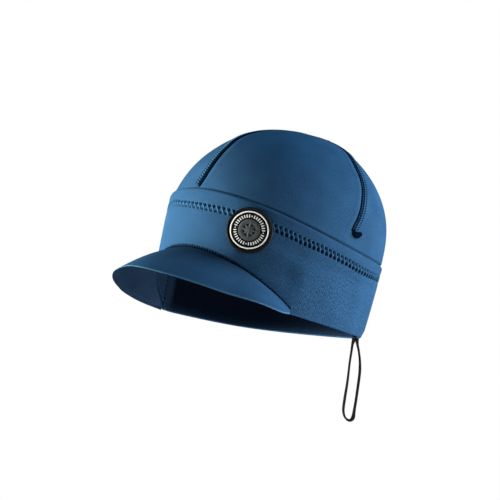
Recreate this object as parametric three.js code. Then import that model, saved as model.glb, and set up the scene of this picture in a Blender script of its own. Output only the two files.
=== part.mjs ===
// Beanie with a soft visor, sewn from foam-backed stretch cloth. Millimetres, +Z up.
// The origin is the centre of the head opening. The visor points to -Y and the
// wearer's left side is +X. Angles round the head start at the front and grow
// towards the wearer's left, so 90 is the left side and 180 the back.

import * as THREE from 'three';

const DEGREE = Math.PI / 180;
const CLOTH = 2.5;
const GAP = 0.3;
const CUT_EDGE_ROUNDING = 0.8;
// Triangles with a shorter edge than this are left out
const SHORTEST_EDGE = 1e-4;

// Cuff: an oval wall that narrows to the hem, with its top edge folded inwards
const CUFF_HALF_WIDTH = 87;
const CUFF_HALF_LENGTH = 102;
const CUFF_HEIGHT = 70;
const CUFF_FLARE_POWER = 0.64;
const CUFF_TOP_WAVE = { once: 2, twice: 7 };
// The cuff is turned up unevenly: its top rises and its hem dips at the right front
const CUFF_TOP_RISE = { middle: -50, halfSpread: 35, amount: 7.5 };
const HEM_SCALE = 0.95;
const HEM_WAVE = { once: -6, twice: 3.3 };
const HEM_DIP = { middle: -58, halfSpread: 26, amount: 4.8 };
const FOLD_RADIUS = CLOTH + 0.3;
const FOLD_DEPTH = 14;

// Shallow furrows that run round the cuff under its row of stitches, and a dent
// below the badge
const FURROWS = [
  { middle: 86, halfSpread: 38, belowTop: 23, halfWidth: 7, depth: 2.4 },
  { middle: 262, halfSpread: 30, belowTop: 25, halfWidth: 8, depth: 1.6 },
  { middle: 180, halfSpread: 34, belowTop: 30, halfWidth: 9, depth: 1.4 },
  { middle: 49, halfSpread: 15, belowTop: 43, halfWidth: 9, depth: 2.2 },
];
// A furrow fades out between these shares of its halfSpread
const FURROW_FADE = { from: 0.6, to: 1.3 };

// Crown: two halves that meet in a seam from front to back, each with a dart at its
// side. It is oval at the cuff and a rounded diamond near the top, where the seam
// and the darts make the corners.
const CROWN_HALF_WIDTH = 85.5;
const CROWN_HALF_LENGTH = 100.3;
const CROWN_TOP = 166.4;
const CROWN_SHOULDER = 75;
const CROWN_RISE_POWER = 2.55;
const CROWN_CLOSE_POWER = 1.6;
const CROWN_TOP_SECTION = 1.5;
const CROWN_LEAN_BACK = 13;
const CROWN_TUCK_INSET = 2 * FOLD_RADIUS + GAP;
const CROWN_TUCK_HEIGHT = 4.5;
const CROWN_TUCKED_LENGTH = 13;
// How far the front seam wanders to the wearer's left on its way up
const SEAM_DRIFT = [
  { height: 80, drift: -1 },
  { height: 90, drift: 2.1 },
  { height: 100, drift: 3.3 },
  { height: 111, drift: 3.7 },
  { height: 122, drift: 3 },
  { height: 134, drift: -0.5 },
  { height: 141, drift: -1.9 },
  { height: 150, drift: -1.7 },
  { height: 165, drift: 0 },
];
const SEAM_DRIFT_HALF_WIDTH = 20;
const CROWN_HALVES = [
  { name: 'crown_left', start: 0, side: 1 },
  { name: 'crown_right', start: 180, side: -1 },
];

// Visor: from an arched cut in the cuff to its free edge, which is listed from the
// wearer's right to the left
const VISOR_END_ANGLE = 65.4;
// Angle kept between the visor's end and the step in the cuff's lower edge
const NOTCH_CLEARANCE = 0.25;
const VISOR_ARCH_RISE = 32;
const VISOR_ARCH_POWER = 0.9;
const VISOR_DIP_POWER = 1.5;
const VISOR_THICKNESS = 3;
const VISOR_CROWNING = 2.5;
// The seam slopes, so this drop leaves the usual gap square to it
const VISOR_SEAM_DROP = 1.4 * GAP;
// How far the free edge thins out towards the visor's two ends
const VISOR_END_THINNING = { share: 0.85, power: 6 };
const VISOR_EDGE = [
  { out: -75, forward: 40.3, up: -9.4 },
  { out: -82, forward: 57, up: -7.8 },
  { out: -78, forward: 80, up: -6.5 },
  { out: -63.8, forward: 101.5, up: -6.6 },
  { out: -47.5, forward: 123.5, up: -5 },
  { out: -27.5, forward: 139.5, up: -3 },
  { out: 0, forward: 147.5, up: -1 },
  { out: 27.5, forward: 139.5, up: -3 },
  { out: 47.5, forward: 123.5, up: -5 },
  { out: 64.5, forward: 102, up: -7 },
  { out: 79, forward: 80, up: -7.5 },
  { out: 82.5, forward: 57, up: -8 },
  { out: 75, forward: 40.3, up: -5 },
];

// Badge: a soft rubber disc on the cuff with a raised border and a compass star
const BADGE_ANGLE = 36;
const BADGE_HEIGHT = 50;
const BADGE_RADIUS = 18.5;
const BADGE_THICKNESS = 2.6;
const BADGE_ROUNDING = 0.8;
const BADGE_RELIEF = 0.5;
const BORDER_RADII = { inner: 14.2, outer: 15.2 };
const BORDER_ROUNDING = 0.2;
const STAR = { points: 8, longTip: 8.5, shortTip: 5.6, valley: 3.1 };
const STAR_ROUNDING = 0.15;

// Leash loop: two tape ends in a tab inside the hem, and the loop hanging from it
const TAB = { x: 46.2, y: 73.9, bottom: 6.2, height: 8, width: 4.6, thickness: 1.8 };
const LOOP_PLANE_ANGLE = 45;
const LOOP_WIDTH = 2.5;
const LOOP_ROUTE = [
  { across: -0.5, drop: 0.5 },
  { across: -0.1, drop: 3.2 },
  { across: -0.3, drop: 6.7 },
  { across: 0.1, drop: 11.9 },
  { across: 0.8, drop: 22.4 },
  { across: 1.9, drop: 32.7 },
  { across: 2.8, drop: 43 },
  { across: 3.4, drop: 53.3 },
  { across: 4.5, drop: 63.5 },
  { across: 6.4, drop: 67.8 },
  { across: 8.5, drop: 69.8 },
  { across: 10.5, drop: 70.5 },
  { across: 12.3, drop: 70 },
  { across: 13.5, drop: 68.4 },
  { across: 13.8, drop: 66.4 },
  { across: 13.5, drop: 61.3 },
  { across: 12.9, drop: 51 },
  { across: 12.1, drop: 40.7 },
  { across: 11.2, drop: 30.4 },
  { across: 10.4, drop: 25.3 },
  { across: 9.3, drop: 20.3 },
  { across: 7.8, drop: 15.3 },
  { across: 6, drop: 10.5 },
  { across: 3.9, drop: 5.8 },
  { across: 2.9, drop: 3 },
  { across: 2.4, drop: 0.5 },
];

// How many strips each wall is drawn with
const COUNTS = {
  cuffFront: 28,
  cuffBack: 46,
  cuffUp: 7,
  foldTurn: 5,
  halfRound: 24,
  crownNeck: 3,
  crownUp: 12,
  visorRound: 36,
  visorOut: 8,
  badgeRound: 40,
  discRings: 3,
  borderRings: 1,
  starRound: 32,
  starRings: 2,
  loopSides: 8,
  loopSteps: 56,
};

const MATERIALS = {
  cloth: { color: 0x23567f, roughness: 0.8 },
  rubber: { color: 0x141619, roughness: 0.5 },
  white: { color: 0xe8e8e4, roughness: 0.5 },
  grey: { color: 0x5a5c5e, roughness: 0.5 },
  tape: { color: 0x121214, roughness: 0.7 },
};

function soften(low, high, value) {
  return THREE.MathUtils.smoothstep(value, low, high);
}

// 1 at the middle, falling to 0.37 at halfWidth
function bell(distance, halfWidth) {
  return Math.exp(-((distance / halfWidth) ** 2));
}

function wave(angle, { once, twice }) {
  return once * Math.cos(angle) + twice * Math.cos(2 * angle);
}

// Height of a swelling that spreads a few degrees to each side of its middle
function swelling(angle, { middle, halfSpread, amount }) {
  const away = THREE.MathUtils.euclideanModulo(angle / DEGREE - middle + 180, 360) - 180;
  return amount * bell(away, halfSpread);
}

function cuffTop(angle) {
  return CUFF_HEIGHT + wave(angle, CUFF_TOP_WAVE) + swelling(angle, CUFF_TOP_RISE);
}

function hemHeight(angle) {
  return wave(angle, HEM_WAVE) - swelling(angle, HEM_DIP);
}

function visorArch(angle) {
  const end = VISOR_END_ANGLE * DEGREE;
  const across = THREE.MathUtils.clamp(angle / end, -1, 1);
  const rise = VISOR_ARCH_RISE * Math.cos(across * Math.PI / 2) ** VISOR_ARCH_POWER;
  const dip = (hemHeight(end) - hemHeight(-end)) * Math.max(0, -across) ** VISOR_DIP_POWER;
  return hemHeight(end) - dip + VISOR_THICKNESS + rise;
}

function furrowDepth(angle, z) {
  let depth = 0;
  for (const furrow of FURROWS) {
    const round = Math.abs(angle / DEGREE - furrow.middle) / furrow.halfSpread;
    const away = z - (cuffTop(angle) - furrow.belowTop);
    depth += furrow.depth * (1 - soften(FURROW_FADE.from, FURROW_FADE.to, round)) * bell(away, furrow.halfWidth);
  }
  return depth;
}

// A point on the cuff's smooth outer face, moved inwards by inset
function cuffPoint(angle, z, inset) {
  const rise = THREE.MathUtils.clamp(z / CUFF_HEIGHT, 0, 1) ** CUFF_FLARE_POWER;
  const scale = HEM_SCALE + (1 - HEM_SCALE) * rise;
  const normal = new THREE.Vector2(Math.sin(angle) / CUFF_HALF_WIDTH, -Math.cos(angle) / CUFF_HALF_LENGTH);
  normal.normalize();
  return new THREE.Vector3(
    CUFF_HALF_WIDTH * scale * Math.sin(angle) - inset * normal.x,
    -CUFF_HALF_LENGTH * scale * Math.cos(angle) - inset * normal.y,
    z,
  );
}

// Builds one closed wall. Each column has an outer and an inner path of equally
// many points, and neighbouring columns are joined in turn.
function wallGeometry(columns, closedRound) {
  const points = [];
  const triangles = [];
  const length = columns[0].outer.length;
  for (const column of columns) {
    points.push(...column.outer, ...column.inner);
  }
  const outer = (column, step) => (column % columns.length) * 2 * length + step;
  const inner = (column, step) => outer(column, step) + length;
  const addTriangle = (a, b, c) => {
    const corners = [points[a], points[b], points[c]];
    const shortest = Math.min(...corners.map((p, i) => p.distanceTo(corners[(i + 1) % 3])));
    if (shortest > SHORTEST_EDGE) {
      triangles.push(a, b, c);
    }
  };
  const addQuad = (a, b, c, d) => {
    addTriangle(a, b, c);
    addTriangle(a, c, d);
  };
  const joins = closedRound ? columns.length : columns.length - 1;
  for (let i = 0; i < joins; i += 1) {
    for (let k = 0; k < length - 1; k += 1) {
      addQuad(outer(i, k), outer(i + 1, k), outer(i + 1, k + 1), outer(i, k + 1));
      addQuad(inner(i, k), inner(i, k + 1), inner(i + 1, k + 1), inner(i + 1, k));
    }
    addQuad(outer(i, 0), inner(i, 0), inner(i + 1, 0), outer(i + 1, 0));
    const last = length - 1;
    addQuad(outer(i, last), outer(i + 1, last), inner(i + 1, last), inner(i, last));
  }
  if (!closedRound) {
    const end = columns.length - 1;
    for (let k = 0; k < length - 1; k += 1) {
      addQuad(outer(0, k), outer(0, k + 1), inner(0, k + 1), inner(0, k));
      addQuad(outer(end, k), inner(end, k), inner(end, k + 1), outer(end, k + 1));
    }
  }
  const geometry = new THREE.BufferGeometry();
  geometry.setAttribute('position', new THREE.Float32BufferAttribute(points.flatMap((p) => p.toArray()), 3));
  geometry.setIndex(triangles);
  geometry.computeVertexNormals();
  return geometry;
}

// Evenly spaced numbers from first to last, both included
function steps(first, last, count) {
  return Array.from({ length: count + 1 }, (_, i) => first + (last - first) * i / count);
}

// Cuff wall
function cuffColumn(angle, bottom) {
  const outer = [];
  const inner = [];
  const top = cuffTop(angle);
  const foldCentre = top - FOLD_RADIUS;
  for (const z of [bottom, ...steps(bottom + CUT_EDGE_ROUNDING, foldCentre, COUNTS.cuffUp)]) {
    const shape = furrowDepth(angle, z);
    const rounding = z === bottom ? CUT_EDGE_ROUNDING : 0;
    outer.push(cuffPoint(angle, z, shape + rounding));
    inner.push(cuffPoint(angle, z, shape + CLOTH - rounding));
  }
  for (const turn of steps(0, Math.PI, COUNTS.foldTurn).slice(1)) {
    const slot = FOLD_RADIUS - CLOTH;
    const up = Math.sin(turn);
    const across = Math.cos(turn);
    outer.push(cuffPoint(angle, foldCentre + FOLD_RADIUS * up, FOLD_RADIUS - FOLD_RADIUS * across));
    inner.push(cuffPoint(angle, foldCentre + slot * up, FOLD_RADIUS - slot * across));
  }
  outer.push(cuffPoint(angle, top - FOLD_DEPTH, 2 * FOLD_RADIUS));
  inner.push(cuffPoint(angle, top - FOLD_DEPTH, 2 * FOLD_RADIUS - CLOTH));
  return { outer, inner };
}

function makeCuff() {
  const visorEnd = VISOR_END_ANGLE + NOTCH_CLEARANCE;
  const angles = [
    ...steps(-visorEnd, visorEnd, COUNTS.cuffFront),
    ...steps(visorEnd + NOTCH_CLEARANCE, 360 - visorEnd - NOTCH_CLEARANCE, COUNTS.cuffBack),
  ];
  const columns = angles.map((degrees) => {
    const angle = degrees * DEGREE;
    const besideVisor = degrees <= visorEnd;
    const round = degrees < 0 ? angle + 2 * Math.PI : angle;
    return cuffColumn(round, besideVisor ? visorArch(angle) : hemHeight(angle));
  });
  return wallGeometry(columns, true);
}

// Crown halves
function signedPower(value, power) {
  return Math.sign(value) * Math.abs(value) ** power;
}

function seamDrift(z) {
  const next = SEAM_DRIFT.findIndex((row) => row.height > z);
  if (next < 1) {
    return 0;
  }
  const low = SEAM_DRIFT[next - 1];
  const high = SEAM_DRIFT[next];
  return THREE.MathUtils.mapLinear(z, low.height, high.height, low.drift, high.drift);
}

// A point on the crown's outer face at height z, moved inwards by inset
function crownPoint(angle, z, inset) {
  const rise = THREE.MathUtils.clamp((z - CROWN_SHOULDER) / (CROWN_TOP - CROWN_SHOULDER), 0, 1);
  const close = (1 - rise ** CROWN_RISE_POWER) ** (1 / CROWN_CLOSE_POWER);
  const power = 2 / (2 - (2 - CROWN_TOP_SECTION) * rise);
  const free = new THREE.Vector3(
    (CROWN_HALF_WIDTH - inset) * close * signedPower(Math.sin(angle), power),
    -(CROWN_HALF_LENGTH - inset) * close * signedPower(Math.cos(angle), power) + CROWN_LEAN_BACK * rise,
    z - inset * rise,
  );
  if (Math.cos(angle) > 0) {
    free.x += seamDrift(z) * bell(free.x, SEAM_DRIFT_HALF_WIDTH);
  }
  const tucked = cuffPoint(angle, z, CROWN_TUCK_INSET + inset);
  const top = cuffTop(angle);
  return tucked.lerp(free, soften(top - FOLD_RADIUS / 2, top + CROWN_TUCK_HEIGHT, z));
}

function makeCrownHalf(half) {
  const columns = steps(half.start, half.start + 180, COUNTS.halfRound).map((degrees) => {
    const angle = degrees * DEGREE;
    const top = cuffTop(angle);
    const visible = top + CROWN_TUCK_HEIGHT;
    const heights = [
      top - CROWN_TUCKED_LENGTH,
      ...steps(top - FOLD_RADIUS / 2, visible, COUNTS.crownNeck),
      ...steps(0, Math.PI / 2, COUNTS.crownUp).slice(1)
        .map((turn) => visible + (CROWN_TOP - visible) * Math.sin(turn)),
    ];
    const path = (inset) => heights.map((z) => crownPoint(angle, z, inset));
    return { outer: path(0), inner: path(CLOTH) };
  });
  return wallGeometry(columns, false);
}

// Visor
function visorEdgeCurve() {
  const points = VISOR_EDGE.map(({ out, forward, up }) => new THREE.Vector3(out, -forward, up));
  return new THREE.CatmullRomCurve3(points);
}

function makeVisor() {
  const edge = visorEdgeCurve();
  const columns = steps(-1, 1, COUNTS.visorRound).map((across) => {
    const angle = across * VISOR_END_ANGLE * DEGREE;
    const seamHeight = visorArch(angle) - VISOR_SEAM_DROP;
    const rootInside = cuffPoint(angle, seamHeight, CLOTH);
    const root = cuffPoint(angle, seamHeight, 0);
    const tip = edge.getPointAt((across + 1) / 2);
    const crowning = VISOR_CROWNING * Math.cos(across * Math.PI / 2);
    const outer = steps(1, 0, COUNTS.visorOut).map((along) => {
      const point = root.clone().lerp(tip, along);
      point.z += crowning * Math.sin(along * Math.PI);
      return point;
    });
    outer.push(rootInside);
    const inner = outer.map((point, i) => {
      const along = Math.max(0, 1 - i / COUNTS.visorOut);
      const thinning = VISOR_END_THINNING.share * along * Math.abs(across) ** VISOR_END_THINNING.power;
      return new THREE.Vector3(point.x, point.y, point.z - VISOR_THICKNESS * (1 - thinning));
    });
    return { outer, inner };
  });
  return wallGeometry(columns, false);
}

// Badge: shapes drawn flat with x to the right and y up, then laid on the cuff
function badgePoint(x, y, height) {
  const turnRate = Math.hypot(
    CUFF_HALF_WIDTH * Math.cos(BADGE_ANGLE * DEGREE),
    CUFF_HALF_LENGTH * Math.sin(BADGE_ANGLE * DEGREE),
  );
  return cuffPoint(BADGE_ANGLE * DEGREE + x / turnRate, BADGE_HEIGHT + y, -height - GAP);
}

// Builds a plate on the badge from its rim inwards. rimAt gives the rim's radius
// at a turn, and the first step in height rounds the rim by the given amount.
function badgePlate({ rimAt, innerRadius, bottom, top, rounding, turns, rings }) {
  const columns = steps(0, 2 * Math.PI, turns).slice(0, -1).map((turn) => {
    const rim = rimAt(turn);
    const place = (radius, height) => badgePoint(radius * Math.cos(turn), radius * Math.sin(turn), height);
    const radii = steps(rim - rounding, innerRadius, rings);
    const outer = [place(rim, top - rounding), ...radii.map((radius) => place(radius, top))];
    const inner = [place(rim, bottom), ...radii.map((radius) => place(radius, bottom))];
    return { outer, inner };
  });
  return wallGeometry(columns, true);
}

function makeBadgeDisc() {
  return badgePlate({
    rimAt: () => BADGE_RADIUS,
    innerRadius: 0,
    bottom: 0,
    top: BADGE_THICKNESS,
    rounding: BADGE_ROUNDING,
    turns: COUNTS.badgeRound,
    rings: COUNTS.discRings,
  });
}

function makeBadgeBorder() {
  return badgePlate({
    rimAt: () => BORDER_RADII.outer,
    innerRadius: BORDER_RADII.inner,
    bottom: BADGE_THICKNESS + GAP,
    top: BADGE_THICKNESS + GAP + BADGE_RELIEF,
    rounding: BORDER_ROUNDING,
    turns: COUNTS.badgeRound,
    rings: COUNTS.borderRings,
  });
}

// The star's edges run straight from each tip to the valleys beside it
function starRim(turn) {
  const spacing = 2 * Math.PI / STAR.points;
  const nearest = Math.round(turn / spacing);
  const tip = nearest % 2 === 0 ? STAR.longTip : STAR.shortTip;
  const fromTip = Math.abs(turn - nearest * spacing);
  const toValley = spacing / 2 - fromTip;
  const edge = tip * Math.sin(fromTip) + STAR.valley * Math.sin(toValley);
  return tip * STAR.valley * Math.sin(spacing / 2) / edge;
}

function makeBadgeStar() {
  return badgePlate({
    rimAt: starRim,
    innerRadius: 0,
    bottom: BADGE_THICKNESS + GAP,
    top: BADGE_THICKNESS + GAP + BADGE_RELIEF,
    rounding: STAR_ROUNDING,
    turns: COUNTS.starRound,
    rings: COUNTS.starRings,
  });
}

// Leash loop
function makeLoopTab() {
  return new THREE.BoxGeometry(TAB.width, TAB.thickness, TAB.height);
}

function makeLeashLoop() {
  const turn = LOOP_PLANE_ANGLE * DEGREE;
  const route = LOOP_ROUTE.map(({ across, drop }) => new THREE.Vector3(
    TAB.x + across * Math.cos(turn),
    TAB.y + across * Math.sin(turn),
    TAB.bottom - drop,
  ));
  const section = new THREE.Shape();
  for (let corner = 0; corner < COUNTS.loopSides; corner += 1) {
    const angle = (corner + 0.5) * 2 * Math.PI / COUNTS.loopSides;
    const x = LOOP_WIDTH / 2 * Math.cos(angle);
    const y = LOOP_WIDTH / 2 * Math.sin(angle);
    if (corner === 0) {
      section.moveTo(x, y);
    } else {
      section.lineTo(x, y);
    }
  }
  section.closePath();
  return new THREE.ExtrudeGeometry(section, {
    steps: COUNTS.loopSteps,
    extrudePath: new THREE.CatmullRomCurve3(route),
  });
}

// The assembly
const beanie = new THREE.Group();

function addPiece(name, geometry, material) {
  const piece = new THREE.Mesh(geometry, new THREE.MeshStandardMaterial(material));
  piece.name = name;
  beanie.add(piece);
  return piece;
}

addPiece('cuff', makeCuff(), MATERIALS.cloth);
for (const half of CROWN_HALVES) {
  const piece = addPiece(half.name, makeCrownHalf(half), MATERIALS.cloth);
  piece.position.x = half.side * GAP / 2;
}
addPiece('visor', makeVisor(), MATERIALS.cloth);
addPiece('badge_disc', makeBadgeDisc(), MATERIALS.rubber);
addPiece('badge_border', makeBadgeBorder(), MATERIALS.white);
addPiece('badge_star', makeBadgeStar(), MATERIALS.grey);
const tab = addPiece('loop_tab', makeLoopTab(), MATERIALS.tape);
tab.position.set(TAB.x, TAB.y, TAB.bottom + TAB.height / 2);
tab.rotation.z = LOOP_PLANE_ANGLE * DEGREE;
addPiece('leash_loop', makeLeashLoop(), MATERIALS.tape);

export default beanie;
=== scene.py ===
"""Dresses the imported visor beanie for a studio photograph.

Shape functions work in millimetres, as the part does, and a mesh is scaled to
metres when it is made. Angles round the head start at the front (-Y) and grow
towards the wearer's left (+X).
"""

import math

import bpy
import numpy as np
from mathutils import Matrix, Vector


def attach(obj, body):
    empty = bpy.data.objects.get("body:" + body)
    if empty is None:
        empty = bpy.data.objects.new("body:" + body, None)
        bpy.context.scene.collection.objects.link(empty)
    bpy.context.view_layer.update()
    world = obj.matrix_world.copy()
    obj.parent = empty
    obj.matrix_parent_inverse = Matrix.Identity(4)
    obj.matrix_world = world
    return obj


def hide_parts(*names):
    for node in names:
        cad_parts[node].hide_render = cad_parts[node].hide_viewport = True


bl_info = {
    "name": "Visor beanie",
    "version": (1, 0, 0),
    "blender": (4, 5, 0),
    "location": "3D View > Sidebar > Beanie",
    "description": "Builds the cloth, stitches, badge and tape loop of a visor beanie",
    "category": "Object",
}

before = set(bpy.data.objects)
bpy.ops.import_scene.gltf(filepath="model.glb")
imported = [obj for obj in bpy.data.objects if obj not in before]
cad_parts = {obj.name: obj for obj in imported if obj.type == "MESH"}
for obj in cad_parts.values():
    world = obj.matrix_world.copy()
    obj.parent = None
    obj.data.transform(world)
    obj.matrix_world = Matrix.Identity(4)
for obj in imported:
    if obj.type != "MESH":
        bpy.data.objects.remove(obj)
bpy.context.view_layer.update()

MM = 0.001
DEGREE = math.pi / 180
HALF_TURN = math.pi
FULL_TURN = 2 * math.pi
UP = np.array([0.0, 0.0, 1.0])


def table(names, *rows):
    """A short table, kept as the values of each of its named columns."""
    return dict(zip(names.split(), np.array(rows, float).T))


# Sizes shared with the part, in millimetres and degrees
CLOTH = 2.5
GAP = 0.3
CUFF_HALF_WIDTH = 87
CUFF_HALF_LENGTH = 102
CUFF_HEIGHT = 70
CUFF_FLARE_POWER = 0.64
CUFF_TOP_WAVE = {"once": 2, "twice": 7}
CUFF_TOP_RISE = {"middle": -50, "half_spread": 35, "amount": 7.5}
HEM_SCALE = 0.95
HEM_WAVE = {"once": -6, "twice": 3.3}
HEM_DIP = {"middle": -58, "half_spread": 26, "amount": 4.8}
FOLD_RADIUS = CLOTH + GAP
FOLD_DEPTH = 14
FURROWS = [
    {"middle": 86, "half_spread": 38, "below_top": 23, "half_width": 7, "depth": 2.4},
    {"middle": 262, "half_spread": 30, "below_top": 25, "half_width": 8, "depth": 1.6},
    {"middle": 180, "half_spread": 34, "below_top": 30, "half_width": 9, "depth": 1.4},
    {"middle": 49, "half_spread": 15, "below_top": 43, "half_width": 9, "depth": 2.2},
]
# Shares of its half spread between which a furrow fades away
FURROW_FADE = (0.6, 1.3)

CROWN_HALF_WIDTH = 85.5
CROWN_HALF_LENGTH = 100.3
CROWN_TOP = 166.4
CROWN_SHOULDER = 75
CROWN_RISE_POWER = 2.55
CROWN_CLOSE_POWER = 1.6
CROWN_TOP_SECTION = 1.5
CROWN_LEAN_BACK = 13
CROWN_TUCK_HEIGHT = 2.2
CROWN_TUCKED_LENGTH = 13
SEAM_DRIFT = table(
    "height drift", (80, -1), (90, 2.1), (100, 3.3), (111, 3.7), (122, 3), (134, -0.5), (141, -1.9),
    (150, -1.7), (165, 0))
SEAM_DRIFT_HALF_WIDTH = 20

VISOR_END = 65.4 * DEGREE
NOTCH_CLEARANCE = 0.25 * DEGREE
VISOR_ARCH_RISE = 32
VISOR_ARCH_POWER = 0.9
VISOR_DIP_POWER = 1.5
VISOR_THICKNESS = 3
VISOR_CROWNING = 2.5
VISOR_SEAM_DROP = 1.4 * GAP
VISOR_END_THINNING = {"share": 0.85, "power": 6}
VISOR_EDGE = table(
    "out forward up", (-75, 40.3, -9.4), (-82, 57, -7.8), (-78, 80, -6.5), (-63.8, 101.5, -6.6),
    (-47.5, 123.5, -5), (-27.5, 139.5, -3), (0, 147.5, -1), (27.5, 139.5, -3), (47.5, 123.5, -5),
    (64.5, 102, -7), (79, 80, -7.5), (82.5, 57, -8), (75, 40.3, -5))

BADGE_ANGLE = 36 * DEGREE
BADGE_HEIGHT = 50
BADGE_RADIUS = 18.5
BADGE_THICKNESS = 2.6
BORDER_RADII = (14.2, 15.2)
STAR = {"points": 8, "long_tip": 8.5, "short_tip": 5.6, "valley": 3.1}

TAB = {"x": 46.2, "y": 73.9, "bottom": 6.2, "height": 8, "width": 4.6, "thickness": 1.8}
LOOP_PLANE_ANGLE = 45
LOOP_ROUTE = table(
    "across drop", (-0.5, 0.5), (-0.1, 3.2), (-0.3, 6.7), (0.1, 11.9), (0.8, 22.4), (1.9, 32.7),
    (2.8, 43), (3.4, 53.3), (4.5, 63.5), (6.4, 67.8), (8.5, 69.8), (10.5, 70.5), (12.3, 70),
    (13.5, 68.4), (13.8, 66.4), (13.5, 61.3), (12.9, 51), (12.1, 40.7), (11.2, 30.4), (10.4, 25.3),
    (9.3, 20.3), (7.8, 15.3), (6, 10.5), (3.9, 5.8), (2.9, 3), (2.4, 0.5))

# How the tape turns about its own line: 0 shows its width, 90 its edge
LOOP_TWIST = table(
    "share turn", (0, 38), (0.02, 46), (0.045, 73), (0.09, 79), (0.19, 81), (0.25, 77), (0.31, 72),
    (0.37, 68), (0.41, 70), (0.455, 80), (0.48, 90), (0.505, 70), (0.53, 25), (0.56, 50), (0.6, 60),
    (0.82, 58), (0.87, 67), (0.92, 69), (0.96, 62), (0.985, 42), (1, 30))
# Points along the tape and round its rounded oblong section, and the powers that shape that
TAPE = {"points": 240, "corners": 16, "width_power": 0.35, "thickness_power": 0.6}
# The tab is a little narrower at both ends: end is its share of the width there
TAB_SHAPE = {"rows": 14, "corners": 20, "width_power": 0.3, "thickness_power": 0.5, "end": 0.82,
             "swell": 0.72}

# The cuff's section: its hem, how far that sits inwards where it isn't cut, and the rows of each stretch
HEM_EDGE = 1.1
HEM_TUCK = {"inset": 1.2, "height": 6}
CUFF_ROWS = {"hem": 8, "low": 16, "stitches": 24, "high": 5, "fold": 11, "turned_in": 4, "back": 3,
             "slot": 3, "inside": 16}

# Stitch row round the cuff: how far it lies below the fold at each angle
STITCH_ROW_DROP = table(
    "angle drop", (-180, 10.6), (-60, 10), (-20, 12.2), (-10, 14), (0, 15.1), (12, 15.4), (23, 14.9),
    (40, 13.6), (56, 12.7), (62, 12.7), (73, 11.8), (90, 11.7), (100, 12.2), (111, 12.1),
    (131, 10.8), (180, 10.6))
# Which stitch stands how far along the row from the front, in millimetres
STITCH_PLACES = table(
    "number along", (0, 0), (8, 36), (20, 88), (27, 117.5), (31, 135.3), (41, 184.4), (115, 531.3),
    (127, 591.3))
ROW_LENGTH = STITCH_PLACES["along"][-1]
STITCHES_ROUND = 127
STITCH_PITCH = 4.5
COLUMNS_PER_STITCH = 8
STITCH_LINE_HEIGHT = 58
STITCH_BAND = 4.6
SLOT = {"row_offset": 1.88, "half_length": 1.4, "half_width": 1.2, "lean": 16, "thread": 1.05}
SLOT_ROWS = (("upper", 1, 0), ("lower", -1, 0.5))
# The slots and their links grow from the front to the side, between these two angles
SLOT_GROWTH = {"from": 20, "to": 52}
SLOT_SIZE = {"upper": (0.78, 0.9), "lower": (0.62, 1.15)}
# The shallow groove that joins each upper slot to the lower one beside it
SLOT_LINK = {"share": (0.05, 0.5), "half_width": 0.7}
# How deep the dark threads lie, as a share of the slots' depth, and how much less their ends do
SLOT_THREAD_DEPTH = {"middle": 0.85, "less_at_ends": 0.2}
# Threads that wind down from between two upper slots to between two lower ones
CROSS_THREAD = {"place": 0.75, "half_length": 3.1, "radius": 0.5, "raised": 0.02, "sunk_ends": 0.45,
                "sway": 0.5, "sway_end": 0.75}
STITCH_CHANNEL = {"depth": 0.5, "half_width": 4.5}

# Inside the cuff: a seam at each end of the visor, with painted light on the inner face behind it
INNER_SEAM_ANGLE = 63.3
INNER_SEAM_BLUR = 0.3
# Painted light beside the visor: where it fades in, and how far the inner face lightens on the strip and
# past the seam
PAINTED_LIGHT_END = {"from": 69, "to": 75}
PAINTED_LIGHT_TONES = {"strip": 0.38, "fold": 0.55}
INNER_STITCHES = {"above_edge": 0.5, "high": 30, "pitch": 3.7, "length": 2.3, "radius": 0.42, "sunk": 0.1}
# Share of the way down the inner face where painted light starts to lighten the dark inside
INNER_PAINTED_LIGHT = {"from": 0.5, "power": 14, "most": 0.22}

# Columns and rows of each crown half, and how far from the cuff and the top its grooves fade in
CROWN_COLUMNS = 361
CROWN_ROWS = {"tucked": 4, "neck": 14, "dome": 120, "inner_dome": 22, "inner_neck": 5}
CROWN_FADE = {"start": -1, "above_cuff": 3, "below_top": 1.5}
# Where the side darts run and end
DART_END = 76.5
DART_DRIFT = table(
    "height drift", (76, -2.9), (82, -2.5), (88, -0.8), (98, 0.3), (107, 0.3), (117, 0.4),
    (126, -0.9), (135, -3), (145, -1.9), (152, 0.6), (162, 0))
DART_FADE = {"below": 1.5, "above": 2.5}
# The darts' dents stay off the middle of the crown's top
DART_CLEAR_OF_SEAM = 4
DART_PUCKER = {"below_end": 4, "half_width": 5.5, "half_height": 3, "depth": 0.9}
SEAM = {"depth": 1.2, "half_width": 1.5, "swell": 0.3, "swell_width": 5.5}
DART = {"depth": 1.0, "half_width": 1.2, "swell": 0.3, "swell_width": 5}
# Lines beside the seam and the darts: where they start, the share that a dart's line stays short
# of the top, and how near the crown's outline they may come
SEAM_LINE = {"low": 79, "above_cuff": 1.5, "points": 700}
DART_LINE = {"short": 0.02, "points": 500}
LINE_REACH = 0.98
# Stitches over a seam: a sunk dark thread that also paints the groove's shade, two rails of dashes and
# threads between them
SEAM_LADDER = {"thread": 1.5, "rails": (2.5, 5.3), "dash_radius": 0.75, "cross": "seam_thread"}
DART_LADDER = {"thread": 1.05, "rails": (2.4, 5.3), "dash_radius": 0.95, "cross": "light_thread"}
LADDER = {"raised": 0.25, "pitch": 2.3, "dash": 1.7, "dash_sunk": 0.1, "cross_radius": 0.5,
          "cross_raised": 0.1, "cross_arch": 0.3}
# The bar of stitches at a dart's end: it sags about one place and is tallest at another
BAR_TACK = {"from": -1.6, "to": 9.2, "strands": 15, "radius": 0.7, "lean": 0.5, "arch": 0.3,
            "below_end": 0.95, "sag": 0.055, "sag_middle": 3,
            "end_height": 0.4, "height": 3, "middle": 4, "half_width": 6}
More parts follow.
